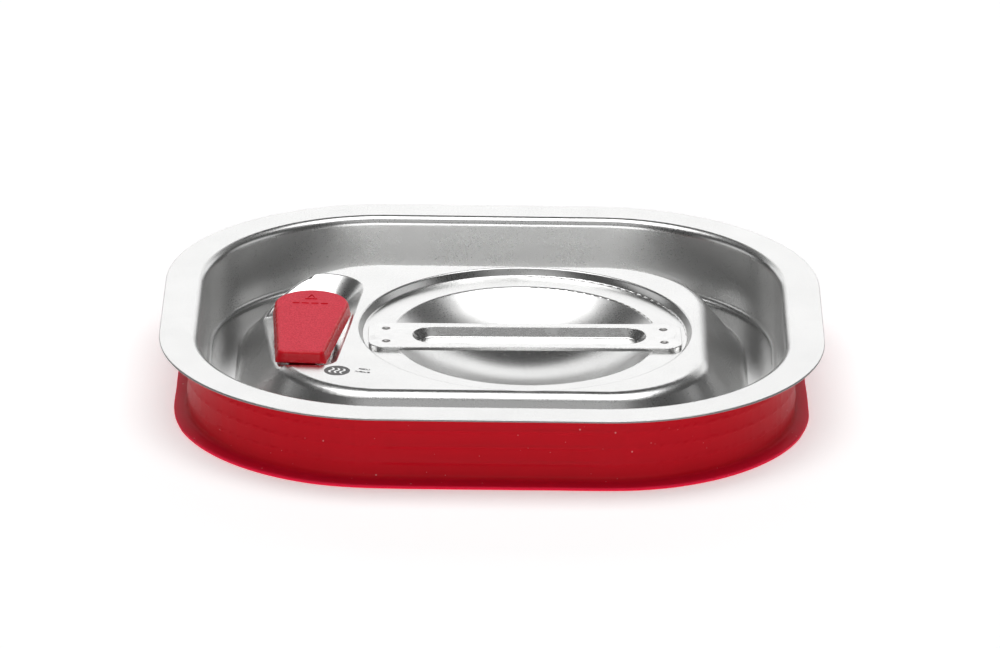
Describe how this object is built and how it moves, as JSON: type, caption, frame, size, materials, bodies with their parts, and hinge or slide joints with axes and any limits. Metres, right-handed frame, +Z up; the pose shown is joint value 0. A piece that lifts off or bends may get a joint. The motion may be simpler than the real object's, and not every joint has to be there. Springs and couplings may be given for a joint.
{
  "type": "food container lid",
  "caption": "Press-in steel lid with a red silicone seal, a strap handle over a round finger dish and a lift-up vent lever in a scooped corner.",
  "frame": {"origin": "middle of the lid, on the surface that the seal's foot stands on", "axes": "+X along the long side, away from the vent lever; +Y towards the side that the lever's free end points to; +Z up"},
  "size_m": [0.2, 0.178, 0.024],
  "materials": {
    "drawn_steel": "bright annealed, fine satin grain",
    "strap_steel": "polished, faint scuffs",
    "weld_steel": "dull spot welds",
    "seal_silicone": "smooth moulded silicone, half gloss",
    "lever_silicone": "matt grained top and smooth glossy sides",
    "plug_silicone": "smooth moulded silicone"
  },
  "bodies": {
    "lid": {"lid_shell": "drawn_steel", "handle_strap": "strap_steel", "spot_welds": "weld_steel", "valve_anchor": "plug_silicone"},
    "vent_valve": {"valve_tab": "lever_silicone", "vent_plug": "plug_silicone"},
    "seal": {"seal_ring": "seal_silicone"}
  },
  "joints": [
    {"name": "lever_lift", "type": "hinge", "parent": "lid", "child": "vent_valve", "pos_m": [-0.0573, -0.02847, 0.01845], "axis": [0.9984, -0.0558, 0], "range_deg": [0, 50]},
    {"name": "seal_pull_off", "type": "slide", "parent": "lid", "child": "seal", "axis": [0, 0, -1], "range_m": [0, 0.03]}
  ]
}
